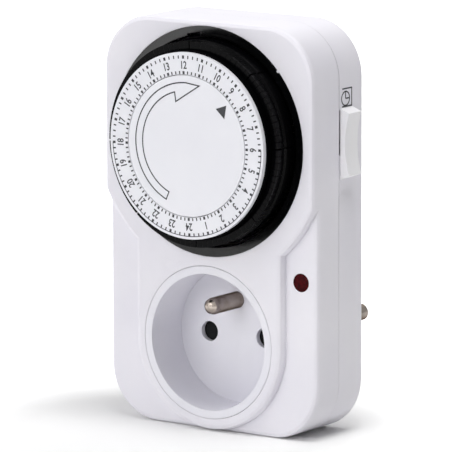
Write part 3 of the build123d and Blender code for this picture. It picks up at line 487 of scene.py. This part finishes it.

# %% [markdown]
# ## The pieces inside
# They show only at the contact holes and round the knob, but someone may take the
# covers off. Each has the plain engineering plastic that such a part is moulded in;
# the shutter's near-black is its plastic and also the painted shade inside the holes.

# %% Inner plastics and the neon lamp
inner_grey = moulded_plastic(
    "inner_grey", from_screen(64, 64, 67), from_screen(76, 76, 79),
    roughness=0.5, grain=0.25, depth=0.01,
)
plate_grey = moulded_plastic(
    "plate_grey", from_screen(150, 150, 152), from_screen(162, 162, 164),
    roughness=0.5, grain=0.25, depth=0.01,
)
gear_natural = moulded_plastic(
    "gear_natural", from_screen(222, 219, 208), from_screen(229, 227, 218),
    roughness=0.4, grain=0.3, depth=0.004,
)
# The shutter's near-black is partly its own plastic and partly painted shade seen in the
# contact holes
shutter_black_and_shade = moulded_plastic(
    "shutter_black_and_shade", from_screen(24, 24, 26), from_screen(30, 30, 32),
    roughness=0.5, grain=0.2, depth=0.004, edge=0.1, shine=0.1,
)
for node in ("contact_holder", "dial_spindle", "motor_unit", "switch_body"):
    dress(node, inner_grey)
dress("movement_plate", plate_grey)
dress("shutter", shutter_black_and_shade)
for node in ("drive_pinion", "trip_lever", "switch_plunger"):
    dress(node, gear_natural)

neon_glass, nodes, links, shader = new_material("neon_glass")
shader.inputs["Base Color"].default_value = from_screen(255, 214, 196)
shader.inputs["Transmission Weight"].default_value = 0.85
shader.inputs["IOR"].default_value = 1.5
smoke = nodes.new("ShaderNodeTexNoise")
smoke.inputs["Scale"].default_value = 300.0
links.new(between(0.04, 0.16, smoke.outputs["Fac"], nodes, links), shader.inputs["Roughness"])
dress("neon_lamp", neon_glass)
print("inner pieces dressed")

# %% [markdown]
# ## The lamp's lens
# A dark red cap, flush in the face. Unlit, it swallows most light and shows a faint
# pattern of moulded facets behind a clear, smooth front. The facets are a Voronoi
# texture that tints the colour and pushes the surface under a clear coat.

# %% Red lens
facet_scale = 1100.0  # facets of about 0.9 mm
facet_depth = 0.05 * MM
red_lens, nodes, links, shader = new_material("red_lens")
place = nodes.new("ShaderNodeTexCoord")
facets = nodes.new("ShaderNodeTexVoronoi")
facets.inputs["Scale"].default_value = facet_scale
links.new(place.outputs["Object"], facets.inputs["Vector"])
reds = colour_mix(
    from_screen(80, 0, 8), from_screen(32, 0, 2), facets.outputs["Distance"], nodes, links
)
links.new(reds, shader.inputs["Base Color"])
shader.inputs["Roughness"].default_value = 0.3
shader.inputs["Specular IOR Level"].default_value = 0.04
shader.inputs["Coat Weight"].default_value = 0.02
shader.inputs["Coat Roughness"].default_value = 0.08
facet_bump = nodes.new("ShaderNodeBump")
facet_bump.inputs["Distance"].default_value = facet_depth
links.new(facets.outputs["Distance"], facet_bump.inputs["Height"])
links.new(facet_bump.outputs["Normal"], shader.inputs["Normal"])
dress("lamp_lens", red_lens)
print("lamp lens dressed")

# %% [markdown]
# ## Printed marks
# Dial, disc and side carry pad-printed marks: a film of dark grey ink a few hundredths
# of a millimetre thick. An image texture would blur at this size, so the marks are
# real meshes laid just in front of the plastic. All of them are drawn by a few helpers
# on a flat sheet, where x runs to the right and y up, and then set on their piece.

# %% Ink
print_height = 0.03 * MM
speckle_scale = 9000.0  # specks of a tenth of a millimetre
speckle_detail = 3.0
ink, nodes, links, shader = new_material("print_ink")
speckle = noise(speckle_scale, speckle_detail, nodes, links)
cover = between(0, 1, speckle, nodes, links)
ink_tone = colour_mix(from_screen(26, 26, 32), from_screen(44, 44, 50), cover, nodes, links)
links.new(ink_tone, shader.inputs["Base Color"])
links.new(between(0.45, 0.65, speckle, nodes, links), shader.inputs["Roughness"])
print("ink ready")


# %% Drawing helpers
sharpest_mitre = 0.35


def polar(radius, degrees, centre=(0.0, 0.0)):
    """Point of the flat sheet, in mm, at a radius and an angle from the x axis."""
    angle = math.radians(degrees)
    return Vector((
        centre[0] + radius * math.cos(angle),
        centre[1] + radius * math.sin(angle),
    ))


def arc(radius, start, end, centre=(0.0, 0.0), step=2.0):
    """Points along an arc between two angles, one every step degrees or so."""
    count = max(2, round(abs(end - start) / step))
    return [polar(radius, start + (end - start) * i / count, centre) for i in range(count + 1)]


def fill(sheet, outline):
    """Fills an outline on the sheet with one face."""
    corners = [sheet.verts.new((p.x * MM, p.y * MM, 0)) for p in outline]
    sheet.faces.new(corners)


def line(sheet, points, width, closed=False):
    """Draws a line of that width through the points, with mitred corners."""
    count = len(points)
    sides = []
    for i, point in enumerate(points):
        before = points[i - 1] if closed or i > 0 else None
        after = points[(i + 1) % count] if closed or i < count - 1 else None
        into = (point - before).normalized() if before is not None else None
        out = (after - point).normalized() if after is not None else None
        into = into or out
        out = out or into
        normal = Vector((-into.y, into.x)) + Vector((-out.y, out.x))
        normal.normalize()
        reach = width / 2 / max(sharpest_mitre, normal.dot(Vector((-into.y, into.x))))
        left = point + normal * reach
        right = point - normal * reach
        sides.append((
            sheet.verts.new((left.x * MM, left.y * MM, 0)),
            sheet.verts.new((right.x * MM, right.y * MM, 0)),
        ))
    for i in range(count if closed else count - 1):
        a, b = sides[i], sides[(i + 1) % count]
        sheet.faces.new((a[0], a[1], b[1], b[0]))


def lay_print(name, sheet, body, right, up, origin):
    """Sets a drawn sheet on a piece, as a print that rides on its body. right and up
    are the directions of the sheet's x and y, and origin is its middle."""
    across = Vector(right)
    along = Vector(up)
    outward = across.cross(along)
    place = Matrix((across, along, outward)).transposed().to_4x4()
    place.translation = Vector(origin) + outward * print_height
    sheet.transform(place)
    bmesh.ops.recalc_face_normals(sheet, faces=sheet.faces)
    for face in sheet.faces:
        if face.normal.dot(outward) < 0:
            face.normal_flip()
    mesh = bpy.data.meshes.new(name)
    sheet.to_mesh(mesh)
    sheet.free()
    mesh.materials.append(ink)
    piece = bpy.data.objects.new(name, mesh)
    bpy.context.scene.collection.objects.link(piece)
    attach(piece, body)
    print(f"{name}: {len(mesh.polygons)} faces, rides on {body}")


right_way = (1, 0, 0)
up_way = (0, 0, 1)
dial_middle = (dial_x, ring_front, dial_z)
disc_middle = (dial_x, disc_front, dial_z)

# %% [markdown]
# ## The hours
# The numbers run against the clock, because the dial turns with it: the hour that has
# come round stands at the triangle. Blender's own font is wide, so each number is
# squeezed, converted to a mesh and stood on its place with its foot to the middle.

# %% Numbers of the dial: sizes in mm, angles in degrees
dial_turn = 2.2
hours = 24
hour_step = 360 / hours
number_radius = 22.62
number_size = 3.0
number_squeeze = 0.8
number_weight = 0.055
number_spacing = 0.94


def hour_angle(hour):
    """Where an hour stands on the dial, from the right. Noon is at the top."""
    return 90 + dial_turn + (hour - 12) * hour_step


def stamp_number(sheet, words, place):
    """Adds a number to the sheet, centred, and moved by a matrix in mm."""
    text = bpy.data.curves.new("stamp", "FONT")
    text.body = words
    text.size = number_size
    text.offset = number_weight
    text.align_x = "CENTER"
    text.align_y = "CENTER"
    text.space_character = number_spacing
    text.resolution_u = 3
    text_object = bpy.data.objects.new("stamp", text)
    bpy.context.scene.collection.objects.link(text_object)
    bpy.context.view_layer.update()
    mesh = bpy.data.meshes.new_from_object(text_object)
    heights = [v.co.y for v in mesh.vertices]
    drop = Matrix.Translation((0, -(min(heights) + max(heights)) / 2, 0))
    narrow = Matrix.Diagonal((number_squeeze, 1, 1, 1))
    mesh.transform(Matrix.Scale(MM, 4) @ place @ narrow @ drop)
    sheet.from_mesh(mesh)
    bpy.data.objects.remove(text_object)
    bpy.data.meshes.remove(mesh)


sheet = bmesh.new()
for hour in range(1, hours + 1):
    angle = hour_angle(hour)
    spot = polar(number_radius, angle)
    upright = Matrix.Rotation(math.radians(angle - 90), 4, "Z")
    stamp_number(sheet, str(hour), Matrix.Translation((spot.x, spot.y, 0)) @ upright)
lay_print("dial_numbers", sheet, "dial", right_way, up_way, dial_middle)

# %% Ticks: four to the hour outside and inside, the hour's own as a heavy one
ticks_per_hour = 4
tick_step = hour_step / ticks_per_hour
outer_ticks = (24.35, 25.25)
inner_ticks = (20.05, 20.9)
fine_tick = 0.38
heavy_tick = 0.7
night_line = 0.2  # joins the outer ticks of the night, from 18 to 6
sheet = bmesh.new()
for tick in range(hours * ticks_per_hour):
    angle = hour_angle(0) + tick * tick_step
    width = heavy_tick if tick % ticks_per_hour == 0 else fine_tick
    for inside, outside in (outer_ticks, inner_ticks):
        line(sheet, [polar(inside, angle), polar(outside, angle)], width)
line(sheet, arc(outer_ticks[1], hour_angle(-6), hour_angle(6), step=1.5), night_line)
lay_print("dial_ticks", sheet, "dial", right_way, up_way, dial_middle)

# %% [markdown]
# ## Arrow and triangle
# The fixed disc in the middle shows which way the dial turns, with an arrow in outline,
# and where to read the time, with a small filled triangle. The arrow is one closed
# path: the outer arc from the tail, the tip, the barb, and the inner arc back.

# %% Marks of the disc: corners are (radius in mm, angle in degrees)
arrow_middle = (0.0, 0.4)
arrow_outer = 17.3
arrow_inner = 14.95
arrow_tail = 246.5
outer_end = 90.0
inner_end = 105.0
arrow_tip = (17.72, 75.4)
arrow_barb = (12.69, 106.0)
arrow_line = 0.36
triangle = [(15.12, 48.1), (18.48, 42.4), (15.58, 33.6)]

outline = arc(arrow_outer, arrow_tail, outer_end, arrow_middle)
outline += [polar(*arrow_tip), polar(*arrow_barb)]
outline += arc(arrow_inner, inner_end, arrow_tail, arrow_middle)
sheet = bmesh.new()
line(sheet, outline, arrow_line, closed=True)
lay_print("disc_arrow", sheet, "housing", right_way, up_way, disc_middle)

sheet = bmesh.new()
fill(sheet, [polar(*corner) for corner in triangle])
lay_print("disc_triangle", sheet, "housing", right_way, up_way, disc_middle)

# %% [markdown]
# ## The clock by the knob
# Knob up means that the timer switches, and a little clock says so: a circle with two
# hands in a square that is open to the front. It is printed on the right side, where
# the sheet's x runs backwards along +Y.

# %% Clock mark: sizes and places on the side, (y, z) in mm
clock_middle = Vector((-8.37, 70.0))
clock_radius = 1.95
clock_line = 0.4
circle_step = 8.0
frame_front = -10.04
frame_back = -5.37
frame_foot = 67.8
frame_top = 72.75
back_way = (0, 1, 0)
side_middle = (side_x, 0, 0)

sheet = bmesh.new()
circle = arc(clock_radius, 0, 360 - circle_step, clock_middle, circle_step)
line(sheet, circle, clock_line, closed=True)
for hand in ((0, clock_radius), (clock_radius, 0)):
    line(sheet, [clock_middle, clock_middle + Vector(hand)], clock_line)
open_frame = [
    Vector((frame_front, frame_foot)),
    Vector((frame_back, frame_foot)),
    Vector((frame_back, frame_top)),
    Vector((frame_front, frame_top)),
]
line(sheet, open_frame, clock_line)
lay_print("clock_mark", sheet, "housing", back_way, up_way, side_middle)

# %% [markdown]
# ## The seam
# The covers meet in a hairline gap that lies in shade. The CAD covers touch in
# one plane, so that shade is painted as a narrow dark band on the wall. It follows the
# rounded rectangle of the housing, four straight runs with an arc at each corner. The
# gap and its painted shade are widest high on the sides and close towards the foot and along
# the top.

# %% Painted seam shade: sizes in mm
seam_width_least = 0.008
seam_width_most = 0.14
seam_lift = 0.02
corner_radius = 15.5
corner_step = 5.0
half_width = side_x / MM
seam_foot = front_low.z / MM
seam_top = front_high.z / MM
corners = [
    (half_width - corner_radius, seam_foot + corner_radius, -90),
    (half_width - corner_radius, seam_top - corner_radius, 0),
    (corner_radius - half_width, seam_top - corner_radius, 90),
    (corner_radius - half_width, seam_foot + corner_radius, 180),
]
route = []
for corner_x, corner_z, start in corners:
    middle = (corner_x, corner_z)
    route += arc(corner_radius + seam_lift, start, start + 90, middle, corner_step)

band = bmesh.new()
rails = []
for point in route:
    height = (point.y - seam_foot) / (seam_top - seam_foot)
    sideways = (abs(point.x) - half_width + corner_radius) / corner_radius
    widening = (height * sideways) ** 2
    width = seam_width_least + (seam_width_most - seam_width_least) * widening
    rails.append([
        band.verts.new((point.x * MM, seam_y + shift * width * MM, point.y * MM))
        for shift in (-0.5, 0.5)
    ])
for i, rail in enumerate(rails):
    following = rails[(i + 1) % len(rails)]
    band.faces.new((rail[0], following[0], following[1], rail[1]))
bmesh.ops.recalc_face_normals(band, faces=band.faces)
seam_mesh = bpy.data.meshes.new("painted_seam_shade")
band.to_mesh(seam_mesh)
band.free()
# Grey tones of the band: painted shade of the gap between the covers
seam_shade = moulded_plastic(
    "seam_shade", from_screen(128, 127, 134), from_screen(168, 167, 174),
    roughness=0.7, grain=0.5, depth=0.002,
)
seam_mesh.materials.append(seam_shade)
painted_seam_shade = bpy.data.objects.new("painted_seam_shade", seam_mesh)
bpy.context.scene.collection.objects.link(painted_seam_shade)
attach(painted_seam_shade, "housing")
print(f"seam line of {len(route)} points")

# %% [markdown]
# ## Sizes at the end
# The dressed model has to keep the CAD model's size, so both boxes are printed
# side by side.

# %% Sizes and finish
low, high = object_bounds()
sizes = {
    "cad": [list(cad_low), list(cad_high)],
    "visual": [list(low), list(high)],
}
for key, (low_corner, high_corner) in sizes.items():
    print(key, [round((b - a) / MM, 2) for a, b in zip(low_corner, high_corner)], "mm")
